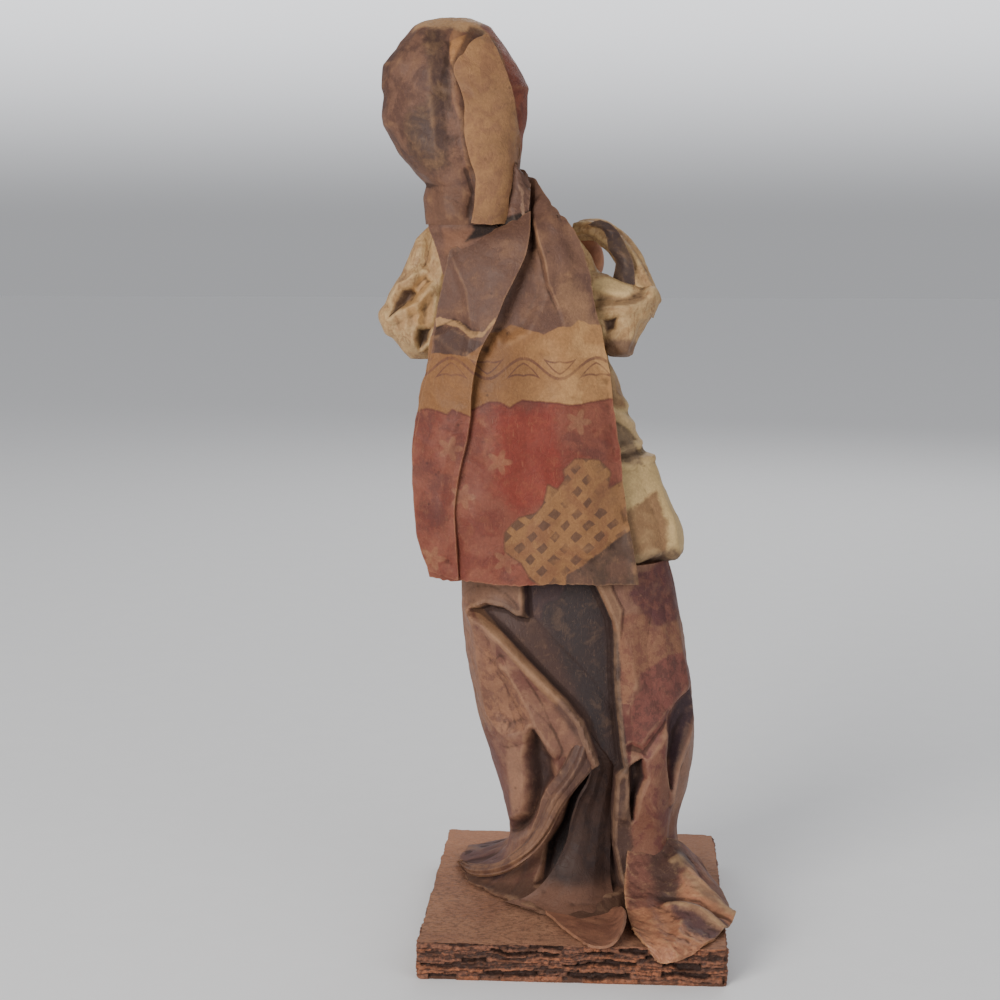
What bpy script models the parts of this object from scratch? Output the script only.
"""A papier-mache figure of a veiled woman in folded, stiffened paper, standing on a square of chipboard.

World axes: +Z up, +Y the way the figure faces, -Y the side that shows her back, origin at the middle of the
board's underside. Sizes below are in millimetres. The figure's own tables give heights above the board's top,
at the height FIGURE_MODELLED, and are scaled together to FIGURE_HEIGHT.
"""

import math

import bmesh
import bpy
import numpy as np

MM = 0.001

# The board
BOARD_WIDTH = 127.0
BOARD_DEPTH = 150.0
BOARD_THICKNESS = 16.0
BOARD_CORNER = 2.0
BOARD_CORNER_STEPS = 2
SHARP_ANGLE = math.radians(40)

# The figure
FIGURE_MODELLED = 374.0
FIGURE_HEIGHT = 374.0
SHEET_THICKNESS = 2.2
CLEARANCE = 0.3
SKIRT_TOP = 145.7
TUNIC_TOP = 287.0
HOOD_GAP = 1.5
HOOD_HEM = TUNIC_TOP + HOOD_GAP
HOOD_TOP = 373.6
CROWN = 364.0

# How finely each loft is cut
SKIRT_SIDES = 88
RECESS_SIDES = 14
TUNIC_SIDES = 44
HOOD_SIDES = 30
HEAD_SIDES = 28
SLEEVE_SIDES = 22
FOREARM_SIDES = 14
HAND_SIDES = 12
THUMB_SIDES = 8
TUNIC_RINGS = 14
HOOD_RINGS = 13
HEAD_RINGS = 20
SLEEVE_RINGS = 11
FOREARM_RINGS = 10
HAND_RINGS = 9
THUMB_RINGS = 6
SKIRT_RING_HEIGHTS = (0.0, 2.5, 5.0, 8.5, 13.0, 20.0, 30.0, 42.0, 56.0, 70.0, 84.0, 98.0, 112.0, 128.0, SKIRT_TOP)
MERGE_DISTANCE = 0.01
SLIVER_EDGE = 0.005

# How square each outline is: 2 is an ellipse, and more is squarer
SKIRT_SQUARENESS = 2.3
TUNIC_SQUARENESS = 2.4
HOOD_SQUARENESS = 2.2
HEAD_SQUARENESS = 2.1
SLEEVE_SQUARENESS = 2.2

# Each row is a height and the left, right, rear and front of the outline there.
SKIRT_LEVELS = (
    (0.0, -28.0, 43.0, -24.0, 52.0),
    (14.0, -28.0, 43.0, -21.0, 47.0),
    (28.0, -30.0, 44.0, -21.0, 44.0),
    (42.0, -33.5, 48.0, -22.0, 43.0),
    (56.0, -37.5, 50.5, -23.0, 42.0),
    (70.0, -42.0, 51.0, -24.0, 42.0),
    (84.0, -45.8, 50.2, -24.5, 41.0),
    (104.0, -49.5, 46.8, -24.5, 40.0),
    (130.0, -51.0, 41.5, -23.5, 37.0),
    (145.7, -50.0, 38.0, -22.0, 35.0),
)
TUNIC_LEVELS = (
    (146.0, -57.0, 36.0, -18.0, 36.0),
    (151.0, -60.0, 41.0, -20.0, 39.0),
    (157.0, -62.0, 43.0, -21.0, 39.0),
    (170.0, -66.0, 38.0, -21.0, 35.0),
    (183.0, -67.0, 31.0, -21.0, 32.0),
    (196.0, -66.0, 26.0, -20.0, 29.0),
    (209.0, -64.0, 20.5, -19.0, 27.0),
    (222.0, -61.0, 16.0, -18.0, 25.0),
    (240.0, -59.0, 10.0, -17.0, 23.0),
    (256.0, -57.0, 7.0, -15.0, 21.0),
    (270.0, -56.0, 3.0, -13.0, 19.0),
    (280.0, -53.0, -5.0, -11.0, 17.0),
    (287.0, -47.0, -17.0, -7.0, 15.0),
)
HOOD_LEVELS = (
    (288.5, -65.8, -29.0, -20.0, 14.0),
    (299.0, -65.8, -27.5, -20.5, 17.0),
    (307.4, -65.0, -26.5, -21.0, 21.0),
    (313.6, -73.0, -25.8, -22.0, 24.0),
    (322.0, -80.0, -25.3, -23.0, 26.0),
    (332.0, -82.6, -24.2, -22.5, 27.0),
    (344.6, -83.6, -22.9, -21.0, 27.0),
    (354.0, -82.5, -27.0, -18.5, 26.0),
    (362.0, -79.5, -31.0, -14.5, 24.0),
    (368.0, -75.0, -35.5, -9.0, 21.0),
    (373.6, -65.0, -43.0, 0.0, 14.0),
)
HEAD_LEVELS = (
    (287.4, -50.0, -28.0, -2.0, 19.0),
    (297.0, -54.0, -32.0, 0.0, 22.0),
    (304.0, -59.0, -37.0, 0.0, 27.0),
    (309.0, -65.0, -41.0, -4.0, 35.0),
    (316.0, -70.0, -36.0, -8.0, 37.5),
    (324.0, -73.5, -32.5, -11.0, 38.0),
    (334.0, -75.0, -31.0, -12.5, 38.0),
    (344.0, -74.5, -31.5, -12.0, 37.0),
    (353.0, -71.0, -35.0, -9.0, 34.0),
    (360.0, -65.0, -41.0, -3.0, 27.0),
    (364.0, -57.0, -49.0, 6.0, 18.0),
)

# The skirt spreads over the board in glued-down feet. Each row is an angle about the skirt's middle and the
# corner of the feet's outline that lies there, anticlockwise from the right.
FOOT_OUTLINE = (
    (0.0, 54.0, 8.0), (23.0, 46.0, 24.0), (42.0, 44.0, 40.0), (64.0, 30.0, 53.0), (90.0, 8.0, 57.0),
    (115.0, -14.0, 55.0), (130.0, -32.0, 56.0), (146.0, -52.0, 48.0), (165.0, -54.5, 25.0),
    (190.0, -48.0, -2.0), (207.0, -37.0, -15.0), (234.0, -22.0, -33.0), (249.0, -11.0, -42.0),
    (260.0, 0.5, -58.0), (268.0, 13.0, -67.0), (277.0, 20.0, -60.0), (284.0, 21.5, -42.0),
    (289.0, 18.5, -20.0), (292.0, 24.0, -38.0), (296.0, 38.0, -85.0), (301.0, 50.0, -74.0),
    (307.0, 60.0, -60.0), (316.0, 66.0, -46.0), (325.0, 66.0, -32.0), (344.0, 63.0, -8.0),
)
FOOT_SHEET = SKIRT_RING_HEIGHTS[1]
FOOT_RISE = 6.5

# The two edges that cross the back of the skirt: height above the board and angle about the skirt's middle.
# Between them the skirt is sunk.
LEFT_WRAP_EDGE = (
    (0.0, 255.0), (12.0, 270.0), (30.0, 288.0), (56.0, 278.5), (69.0, 271.0), (84.0, 261.5),
    (106.0, 245.5), (126.0, 223.0), (146.0, 212.0),
)
RIGHT_WRAP_EDGE = ((0.0, 292.0), (32.0, 296.0), (50.0, 295.0), (72.0, 291.0), (107.0, 294.0), (146.0, 286.0))
RECESS_DEPTH = ((0.0, 1.0), (12.0, 5.0), (30.0, 8.0), (56.0, 8.0), (84.0, 6.5), (120.0, 4.5), (146.0, 3.0))
WRAP_LAP = 1.6
RIDGE_HEIGHT = 3.5
RIDGE_WIDTH = 9.0
RIDGE_FOOT = 30.0
RIDGE_RUN = 110.0

# Folds of the skirt's hidden front and sides: angle at the hem, angle at the waist, depth and half width.
# A fold has lost FOLD_FADE of its depth at the waist.
FOLD_FADE = 0.65
SKIRT_FOLDS = (
    (35.0, 42.0, 3.0, 7.0),
    (62.0, 60.0, 4.0, 8.0),
    (92.0, 84.0, 4.5, 9.0),
    (120.0, 108.0, 3.5, 8.0),
    (148.0, 132.0, 4.0, 8.0),
    (330.0, 335.0, 2.5, 6.0),
)

# The long sheet down her back: left edge, right edge and depth at its middle, from the hem up to its point.
PANEL_ROWS = (
    ((-64.0, 140.0), (25.5, 139.0), -31.0),
    ((-68.0, 168.0), (21.5, 166.0), -30.5),
    ((-70.0, 190.0), (18.0, 192.0), -29.5),
    ((-67.0, 212.0), (14.5, 216.0), -28.0),
    ((-62.0, 240.0), (10.0, 242.0), -26.0),
    ((-58.0, 256.0), (6.5, 256.0), -24.0),
    ((-53.5, 275.0), (2.0, 273.0), -21.5),
    ((-40.0, 282.5), (-4.0, 286.5), -18.0),
    ((-23.0, 291.0), (-11.0, 295.5), -11.0),
    ((-26.0, 311.0), (-20.5, 313.5), -1.0),
)
PANEL_FOLD = (0.18, 0.18, 0.24, 0.27, 0.305, 0.39, 0.53, 0.6, 0.7, 0.7)
PANEL_WRAP = (9.0, 9.0, 9.0, 8.5, 8.0, 7.0, 5.0, 3.0, 1.0, 0.5)
FLAP_STEP = 3.5
FLAP_SLOPE = 0.035
FULL_FLAP_WRAP = 5.0
FLAP_ACROSS = 6
REST_ACROSS = 14
PANEL_UP = 22
MOULD_MARGIN = 1.015
MOULD_REACH = -120.0

# The upper sleeves, in rows like the skirt's. They are cut where the tunic stands.
LEFT_UPPER_SLEEVE = (
    (231.3, -73.0, -62.0, 1.0, 9.0),
    (234.0, -75.5, -57.0, -4.0, 13.0),
    (238.0, -78.5, -52.0, -7.0, 17.0),
    (243.0, -83.5, -48.0, -8.0, 20.0),
    (249.0, -86.6, -46.0, -8.0, 22.0),
    (255.0, -83.5, -45.0, -8.0, 22.0),
    (262.0, -80.5, -44.0, -8.0, 20.0),
    (271.0, -75.0, -43.0, -7.0, 16.0),
    (280.0, -70.5, -42.0, -5.0, 13.0),
    (288.2, -65.0, -42.0, -2.0, 10.0),
)
RIGHT_UPPER_SLEEVE = (
    (232.8, 12.5, 21.0, -1.0, 8.0),
    (236.0, 8.0, 23.0, -6.0, 13.0),
    (241.0, 3.0, 25.0, -8.0, 16.0),
    (248.0, 0.0, 29.0, -9.0, 18.0),
    (253.0, -3.0, 32.8, -9.0, 18.0),
    (257.0, -6.0, 34.2, -8.0, 17.0),
    (260.5, -9.0, 29.0, -7.0, 15.0),
    (264.0, -12.0, 17.0, -6.0, 14.0),
    (268.0, -14.0, 9.0, -5.0, 12.0),
    (276.0, -16.0, 3.5, -4.0, 11.0),
    (282.0, -18.0, -1.0, -2.0, 9.0),
)
# The forearms: the middle of each section of the sleeve, then its half width and half height.
LEFT_FOREARM = (
    ((-74.0, 7.0, 249.5), 8.0, 9.0),
    ((-73.5, 14.0, 249.0), 9.5, 10.0),
    ((-71.0, 21.0, 249.5), 9.5, 10.0),
    ((-65.0, 28.0, 252.0), 9.0, 9.0),
    ((-56.0, 33.0, 256.0), 8.5, 8.0),
)
RIGHT_FOREARM = (
    ((27.0, 4.5, 250.0), 3.5, 4.0),
    ((28.3, 5.0, 256.6), 5.0, 5.0),
    ((26.2, 6.5, 262.5), 5.5, 5.0),
    ((22.6, 9.0, 270.0), 6.0, 4.6),
    ((18.3, 13.0, 277.1), 6.5, 4.9),
    ((12.6, 18.0, 282.6), 6.5, 4.8),
    ((6.1, 22.0, 286.0), 6.5, 4.3),
    ((-1.0, 26.0, 285.5), 6.5, 4.3),
)
# The hands and their thumbs, in rows like the forearms'.
RIGHT_HAND = (
    ((-1.5, 26.5, 284.0), 5.5, 5.0),
    ((1.0, 31.0, 279.0), 6.5, 6.5),
    ((3.0, 34.0, 272.5), 6.5, 6.8),
    ((0.5, 37.5, 265.5), 6.5, 5.5),
    ((-7.0, 41.0, 262.0), 6.5, 4.5),
    ((-17.0, 43.5, 262.5), 5.0, 3.0),
)
RIGHT_THUMB = (
    ((1.0, 34.0, 277.0), 3.5, 4.0),
    ((-6.0, 36.5, 276.0), 3.0, 3.2),
    ((-12.0, 39.5, 273.0), 2.5, 2.6),
    ((-16.5, 41.5, 270.5), 1.8, 1.8),
)
LEFT_HAND = (
    ((-54.0, 34.5, 257.2), 5.5, 6.0),
    ((-47.0, 39.5, 259.0), 5.0, 7.0),
    ((-38.0, 44.5, 261.0), 4.5, 7.0),
    ((-29.0, 49.5, 264.0), 3.8, 6.0),
    ((-20.0, 53.0, 268.0), 2.5, 3.5),
)
LEFT_THUMB = (
    ((-44.0, 40.5, 262.0), 3.2, 3.5),
    ((-39.0, 42.5, 268.0), 2.8, 3.0),
    ((-33.0, 45.5, 272.0), 2.4, 2.6),
    ((-27.0, 48.5, 274.5), 1.6, 1.8),
)

# The face: its middle, half width, chin and height, and how far back its front reaches
FACE_MIDDLE = -53.0
FACE_HALF_WIDTH = 21.0
FACE_CHIN = 316.0
FACE_HEIGHT = 48.0
FACE_FRONT = 10.0
# Nose, bridge, two eye hollows, brow, lips and chin: place across and up, width, height and how far each stands out
FACE_FORMS = (
    (0.0, 0.36, 0.16, 0.13, 4.2),
    (0.0, 0.47, 0.10, 0.14, 2.0),
    (-0.42, 0.52, 0.24, 0.07, -1.8),
    (0.42, 0.52, 0.24, 0.07, -1.8),
    (0.0, 0.60, 0.75, 0.06, 1.2),
    (0.0, 0.17, 0.30, 0.05, 1.4),
    (0.0, -0.02, 0.32, 0.09, 1.2),
)

COLOURS = {
    "chipboard": ((0.36, 0.20, 0.11), 0.85),
    "skirt_paper": ((0.24, 0.14, 0.10), 0.6),
    "tunic_paper": ((0.52, 0.40, 0.22), 0.6),
    "printed_paper": ((0.42, 0.20, 0.13), 0.6),
    "sleeve_paper": ((0.56, 0.44, 0.26), 0.65),
    "hood_paper": ((0.36, 0.24, 0.16), 0.6),
    "painted_skin": ((0.40, 0.16, 0.08), 0.45),
}


def clear_scene():
    for obj in list(bpy.data.objects):
        bpy.data.objects.remove(obj, do_unlink=True)


def new_collection(name, hidden=False):
    made = bpy.data.collections.new(name)
    made.hide_render = hidden
    bpy.context.scene.collection.children.link(made)
    return made


def material_of(name):
    found = bpy.data.materials.get(name)
    if found:
        return found
    colour, roughness = COLOURS[name]
    made = bpy.data.materials.new(name)
    made.use_nodes = True
    shader = made.node_tree.nodes["Principled BSDF"]
    shader.inputs["Base Color"].default_value = (*colour, 1.0)
    shader.inputs["Roughness"].default_value = roughness
    shader.inputs["Metallic"].default_value = 0.0
    return made


def smooth_table(rows, at):
    """Cubic Hermite reading of rows (key, values...) at the keys in at, with slopes from the neighbours."""
    rows = np.asarray(rows, float)
    keys, values = rows[:, 0], rows[:, 1:]
    slopes = np.gradient(values, keys, axis=0)
    at = np.clip(np.asarray(at, float), keys[0], keys[-1])
    i = np.clip(np.searchsorted(keys, at, side="right") - 1, 0, len(keys) - 2)
    span = keys[i + 1] - keys[i]
    t = ((at - keys[i]) / span)[:, None]
    span = span[:, None]
    start, end = values[i], values[i + 1]
    return (
        (2 * t**3 - 3 * t**2 + 1) * start
        + (t**3 - 2 * t**2 + t) * span * slopes[i]
        + (3 * t**2 - 2 * t**3) * end
        + (t**3 - t**2) * span * slopes[i + 1]
    )


def read_at(rows, height):
    """Straight-line reading, at one height, of rows of a height and a value."""
    table = np.asarray(rows, float)
    return float(np.interp(height, table[:, 0], table[:, 1]))


def placed(points):
    """Points of the figure's tables in metres, scaled to the figure's height and stood on the board."""
    grown = np.asarray(points, float) * (FIGURE_HEIGHT / FIGURE_MODELLED)
    return (grown + np.array([0.0, 0.0, BOARD_THICKNESS + CLEARANCE])) * MM


def section(level, angles, squareness, grow=0.0):
    """Outline at one level: a superellipse with its own reach to the left, right, rear and front."""
    left, right, rear, front = level
    middle_x, middle_y = (left + right) / 2, (rear + front) / 2
    cosine, sine = np.cos(angles), np.sin(angles)
    power = 2 / squareness
    x = middle_x + np.sign(cosine) * np.abs(cosine) ** power * ((right - left) / 2 + grow)
    y = middle_y + np.sign(sine) * np.abs(sine) ** power * ((front - rear) / 2 + grow)
    return x, y


def finish_object(obj, collection, material=None):
    for owner in list(obj.users_collection):
        owner.objects.unlink(obj)
    collection.objects.link(obj)
    if material:
        obj.data.materials.clear()
        obj.data.materials.append(material_of(material))
    return obj


def object_from(name, points, faces, collection, material=None):
    mesh = bpy.data.meshes.new(name)
    mesh.from_pydata([tuple(p) for p in points], [], faces)
    mesh.validate()
    obj = bpy.data.objects.new(name, mesh)
    bpy.context.scene.collection.objects.link(obj)
    shape = bmesh.new()
    shape.from_mesh(mesh)
    bmesh.ops.recalc_face_normals(shape, faces=shape.faces)
    shape.to_mesh(mesh)
    shape.free()
    return finish_object(obj, collection, material)


def loft(name, rings, collection, material=None):
    """Closed solid through rings of equal count, each end closed by a fan about its middle."""
    rings = [placed(ring) for ring in rings]
    count = len(rings[0])
    points = np.concatenate([*rings, [rings[0].mean(0)], [rings[-1].mean(0)]])
    first_middle, last_middle = len(points) - 2, len(points) - 1
    faces = []
    for k in range(len(rings) - 1):
        for i in range(count):
            j = (i + 1) % count
            faces.append((k * count + i, k * count + j, (k + 1) * count + j, (k + 1) * count + i))
    top = (len(rings) - 1) * count
    for i in range(count):
        j = (i + 1) % count
        faces.append((first_middle, j, i))
        faces.append((last_middle, top + i, top + j))
    return object_from(name, points, faces, collection, material)


def slab(name, front, back, collection):
    """Closed solid between two grids of equal shape."""
    rows, columns = front.shape[:2]
    points = np.concatenate([placed(front.reshape(-1, 3)), placed(back.reshape(-1, 3))])
    half = rows * columns
    faces = []
    for r in range(rows - 1):
        for c in range(columns - 1):
            a, b = r * columns + c, r * columns + c + 1
            d, e = a + columns, b + columns
            faces.append((a, b, e, d))
            faces.append((half + a, half + d, half + e, half + b))
    rim = [c for c in range(columns)]
    rim += [r * columns + columns - 1 for r in range(1, rows)]
    rim += [(rows - 1) * columns + c for c in range(columns - 2, -1, -1)]
    rim += [r * columns for r in range(rows - 2, 0, -1)]
    for k, a in enumerate(rim):
        b = rim[(k + 1) % len(rim)]
        faces.append((a, half + a, half + b, b))
    return object_from(name, points, faces, collection)


def combine(target, other, operation):
    """Boolean of two objects, applied to the first."""
    modifier = target.modifiers.new(operation.lower(), "BOOLEAN")
    modifier.operation = operation
    modifier.object = other
    graph = bpy.context.evaluated_depsgraph_get()
    graph.update()
    done = bpy.data.meshes.new_from_object(target.evaluated_get(graph))
    target.modifiers.remove(modifier)
    target.data = done
    return target


def tidy_mesh(obj):
    """Joins corners a hundredth of a millimetre apart, which the Booleans leave."""
    shape = bmesh.new()
    shape.from_mesh(obj.data)
    bmesh.ops.remove_doubles(shape, verts=shape.verts, dist=MERGE_DISTANCE * MM)
    bmesh.ops.dissolve_degenerate(shape, edges=shape.edges, dist=SLIVER_EDGE * MM)
    bmesh.ops.triangulate(shape, faces=shape.faces)
    shape.to_mesh(obj.data)
    shape.free()


def make_board(collection):
    bpy.ops.mesh.primitive_cube_add(size=1, location=(0, 0, BOARD_THICKNESS / 2 * MM))
    board = bpy.context.object
    board.name = "chipboard_base"
    board.scale = (BOARD_WIDTH * MM, BOARD_DEPTH * MM, BOARD_THICKNESS * MM)
    bpy.ops.object.transform_apply(location=False, rotation=False, scale=True)
    bevel = board.modifiers.new("worn corners", "BEVEL")
    bevel.width = BOARD_CORNER * MM
    bevel.segments = BOARD_CORNER_STEPS
    return finish_object(board, collection, "chipboard")


def skirt_angles(height):
    """Angles in degrees about the skirt at one height: first across the sunk part, then round the two wraps."""
    left = read_at(LEFT_WRAP_EDGE, height)
    right = read_at(RIGHT_WRAP_EDGE, height)
    sunk = np.linspace(left + WRAP_LAP, right - WRAP_LAP, RECESS_SIDES)
    wraps = np.linspace(right, left + 360, SKIRT_SIDES - RECESS_SIDES)
    return np.concatenate([sunk, wraps])


def foot_points():
    """Where each ring point meets the board. The one nearest to a corner of the feet's outline lies on it."""
    corners = np.asarray(FOOT_OUTLINE, float)
    angles = skirt_angles(0.0) % 360
    places = np.stack([np.interp(angles, corners[:, 0], corners[:, k], period=360) for k in (1, 2)], 1)
    for angle, x, y in corners:
        nearest = np.argmin(np.abs((angles - angle + 180) % 360 - 180))
        places[nearest] = (x, y)
    return places


def skirt_relief(degrees, height):
    """How far the skirt stands out at each angle: the sunk part, the ridge beside it, and the folds."""
    left = read_at(LEFT_WRAP_EDGE, height)
    relief = np.zeros(len(degrees))
    relief[:RECESS_SIDES] = -read_at(RECESS_DEPTH, height)
    ridge = RIDGE_HEIGHT * math.sin(math.pi * min(1.0, max(0.0, (height - RIDGE_FOOT) / RIDGE_RUN)))
    before = (left - degrees) % 360
    relief[RECESS_SIDES:] += (ridge * np.exp(-(((before - RIDGE_WIDTH / 2) / RIDGE_WIDTH) ** 2)))[RECESS_SIDES:]
    share = height / SKIRT_TOP
    strength = 1 - FOLD_FADE * share
    for hem, waist, depth, width in SKIRT_FOLDS:
        offset = (degrees - (hem + (waist - hem) * share) + 180) % 360 - 180
        relief -= depth * strength * np.exp(-((offset / width) ** 2))
    return relief


def skirt_rings():
    """Rings of the skirt, from its glued-down feet up. Near the board they swell to the feet's outline."""
    levels = smooth_table(SKIRT_LEVELS, SKIRT_RING_HEIGHTS)
    feet = foot_points()
    rings = []
    for height, level in zip(SKIRT_RING_HEIGHTS, levels):
        degrees = skirt_angles(height)
        angles = np.radians(degrees)
        x, y = section(level, angles, SKIRT_SQUARENESS)
        relief = skirt_relief(degrees, height)
        x = x + relief * np.cos(angles)
        y = y + relief * np.sin(angles)
        spread = math.exp(-max(0.0, height - FOOT_SHEET) / FOOT_RISE)
        x = x + (feet[:, 0] - x) * spread
        y = y + (feet[:, 1] - y) * spread
        rings.append(np.stack([x, y, np.full_like(x, height)], 1))
    return rings


def body_rings(rows, span, sides, count, squareness, grow=0.0):
    """Rings of a plain body between the two heights of span. Grown rings make the cutter of its neighbours."""
    angles = np.linspace(0, 2 * math.pi, sides, endpoint=False)
    heights = np.linspace(*span, count)
    rings = []
    for height, level in zip(heights, smooth_table(rows, heights)):
        x, y = section(level, angles, squareness, grow)
        rings.append(np.stack([x, y, np.full_like(x, height)], 1))
    if grow:
        rings[0][:, 2] -= grow
        rings[-1][:, 2] += grow
    return rings


def panel_surface(forward=0.0):
    """The back sheet's outer face as rows of points, from the hem up. The left flap stands on the rest."""
    before = np.linspace(0, 1, FLAP_ACROSS)
    after = np.linspace(0, 1, REST_ACROSS)
    rows = []
    keys = np.arange(len(PANEL_ROWS), dtype=float)
    flat = np.array([[k, *left, *right, depth, fold, wrap] for k, (left, right, depth), fold, wrap in
                     zip(keys, PANEL_ROWS, PANEL_FOLD, PANEL_WRAP)])
    for left_x, left_z, right_x, right_z, depth, fold, wrap in smooth_table(flat, np.linspace(0, keys[-1], PANEL_UP)):
        beside = fold + FLAP_SLOPE
        share = np.concatenate([before * fold, beside + (1 - beside) * after])
        raised = np.concatenate([np.ones(len(before)), np.zeros(len(after))])
        x = left_x + (right_x - left_x) * share
        z = left_z + (right_z - left_z) * share
        across = 2 * share - 1
        step = FLAP_STEP * min(1.0, wrap / FULL_FLAP_WRAP)
        y = depth + wrap * across**2 - step * raised + forward
        rows.append(np.stack([x, y, z], 1))
    return np.array(rows)


def make_panel(collection):
    outer = panel_surface()
    inner = outer + np.array([0.0, SHEET_THICKNESS, 0.0])
    panel = slab("back_panel", outer, inner, collection)
    return finish_object(panel, collection, "printed_paper")


def panel_mould(collection):
    """All that lies behind the back sheet's inner face, to cut its neighbours with."""
    inner = panel_surface(SHEET_THICKNESS + CLEARANCE)
    middle = inner.mean(axis=(0, 1))
    grown = middle + (inner - middle) * MOULD_MARGIN
    grown[..., 1] = inner[..., 1]
    far = grown.copy()
    far[..., 1] = MOULD_REACH
    return slab("panel_mould", grown, far, collection)


def tube_rings(rows, sides, steps, grow=0.0):
    """Rings across a path. Each section stands square to the path, its width level and its height upright."""
    flat = np.array([[k, *middle, wide, tall] for k, (middle, wide, tall) in enumerate(rows)], float)
    read = smooth_table(flat, np.linspace(0, len(rows) - 1, steps))
    middles = read[:, :3]
    along = np.gradient(middles, axis=0)
    along /= np.linalg.norm(along, axis=1, keepdims=True)
    angles = np.linspace(0, 2 * math.pi, sides, endpoint=False)
    rings = []
    for k, (middle, forward) in enumerate(zip(middles, along)):
        side = np.cross(forward, [0.0, 0.0, 1.0])
        side /= np.linalg.norm(side)
        up = np.cross(side, forward)
        centre = middle.copy()
        if grow and k in (0, steps - 1):
            centre += forward * grow * (1 if k else -1)
        wide, tall = read[k, 3] + grow, read[k, 4] + grow
        ring = centre + np.outer(np.cos(angles) * wide, side) + np.outer(np.sin(angles) * tall, up)
        rings.append(ring)
    return rings


def face_relief(x, y, z):
    """How far the head's front stands out: a sum of oval bells on plain proportions."""
    across = (x - FACE_MIDDLE) / FACE_HALF_WIDTH
    up = (z - FACE_CHIN) / FACE_HEIGHT
    relief = np.zeros(len(x))
    for place, level, wide, tall, depth in FACE_FORMS:
        relief += depth * np.exp(-(((across - place) / wide) ** 2) - ((up - level) / tall) ** 2)
    return relief * (y > FACE_FRONT)


def head_rings(grow=0.0):
    rings = body_rings(HEAD_LEVELS, (TUNIC_TOP + CLEARANCE, CROWN), HEAD_SIDES, HEAD_RINGS, HEAD_SQUARENESS, grow)
    for ring in rings:
        ring[:, 1] += face_relief(ring[:, 0], ring[:, 1], ring[:, 2])
    return rings


def tunic_rings(grow=0.0):
    span = (SKIRT_TOP + CLEARANCE, TUNIC_TOP)
    return body_rings(TUNIC_LEVELS, span, TUNIC_SIDES, TUNIC_RINGS, TUNIC_SQUARENESS, grow)


def sleeve_rings(rows, grow=0.0):
    top = min(rows[-1][0], HOOD_HEM - CLEARANCE)
    return body_rings(rows, (rows[0][0], top), SLEEVE_SIDES, SLEEVE_RINGS, SLEEVE_SQUARENESS, grow)


def make_sleeve(side, upper, forearm, cutters_to_use, parts, cutters):
    """A sleeve, cut where its neighbours stand. Gives the grown forms that cut the hands."""
    sleeve = loft(side + "_sleeve", sleeve_rings(upper), parts, "sleeve_paper")
    tube = loft(side + "_forearm", tube_rings(forearm, FOREARM_SIDES, FOREARM_RINGS), cutters)
    combine(sleeve, tube, "UNION")
    for cutter in cutters_to_use:
        combine(sleeve, cutter, "DIFFERENCE")
    return (
        loft(side + "_upper_cutter", sleeve_rings(upper, CLEARANCE), cutters),
        loft(side + "_forearm_cutter", tube_rings(forearm, FOREARM_SIDES, FOREARM_RINGS, CLEARANCE), cutters),
    )


def make_hand(name, palm, thumb, collection, cutters, grow=0.0):
    """A hand with its fingers together, and its thumb joined on."""
    hand = loft(name, tube_rings(palm, HAND_SIDES, HAND_RINGS, grow), collection, "painted_skin")
    joined = loft(name + "_thumb", tube_rings(thumb, THUMB_SIDES, THUMB_RINGS, grow), cutters)
    return combine(hand, joined, "UNION")


def main():
    clear_scene()
    parts = new_collection("papier_mache_figure")
    cutters = new_collection("cutters", hidden=True)
    make_board(parts)

    mould = panel_mould(cutters)
    tunic_cutter = loft("tunic_cutter", tunic_rings(CLEARANCE), cutters)
    head_cutter = loft("head_cutter", head_rings(CLEARANCE), cutters)

    make_panel(parts)
    skirt = loft("skirt", skirt_rings(), parts, "skirt_paper")
    tunic = loft("tunic", tunic_rings(), parts, "tunic_paper")
    for body in (skirt, tunic):
        combine(body, mould, "DIFFERENCE")

    loft("head", head_rings(), parts, "painted_skin")
    hood_rings = body_rings(HOOD_LEVELS, (HOOD_HEM, HOOD_TOP), HOOD_SIDES, HOOD_RINGS, HOOD_SQUARENESS)
    hood = loft("hood", hood_rings, parts, "hood_paper")
    for cutter in (head_cutter, mould):
        combine(hood, cutter, "DIFFERENCE")

    around = (tunic_cutter, mould, head_cutter)
    hand_cutters = [
        tunic_cutter,
        *make_sleeve("left", LEFT_UPPER_SLEEVE, LEFT_FOREARM, around, parts, cutters),
        *make_sleeve("right", RIGHT_UPPER_SLEEVE, RIGHT_FOREARM, around, parts, cutters),
    ]
    right_hand = make_hand("right_hand", RIGHT_HAND, RIGHT_THUMB, parts, cutters)
    left_hand = make_hand("left_hand", LEFT_HAND, LEFT_THUMB, parts, cutters)
    right_grown = make_hand("right_hand_cutter", RIGHT_HAND, RIGHT_THUMB, cutters, cutters, CLEARANCE)
    combine(left_hand, right_grown, "DIFFERENCE")
    for hand in (left_hand, right_hand):
        for cutter in hand_cutters:
            combine(hand, cutter, "DIFFERENCE")

    for obj in parts.objects:
        if obj.name != "chipboard_base":
            tidy_mesh(obj)
            obj.data.shade_smooth()
            obj.data.set_sharp_from_angle(angle=SHARP_ANGLE)
    for obj in cutters.objects:
        obj.hide_render = True
        obj.display_type = "WIRE"


main()
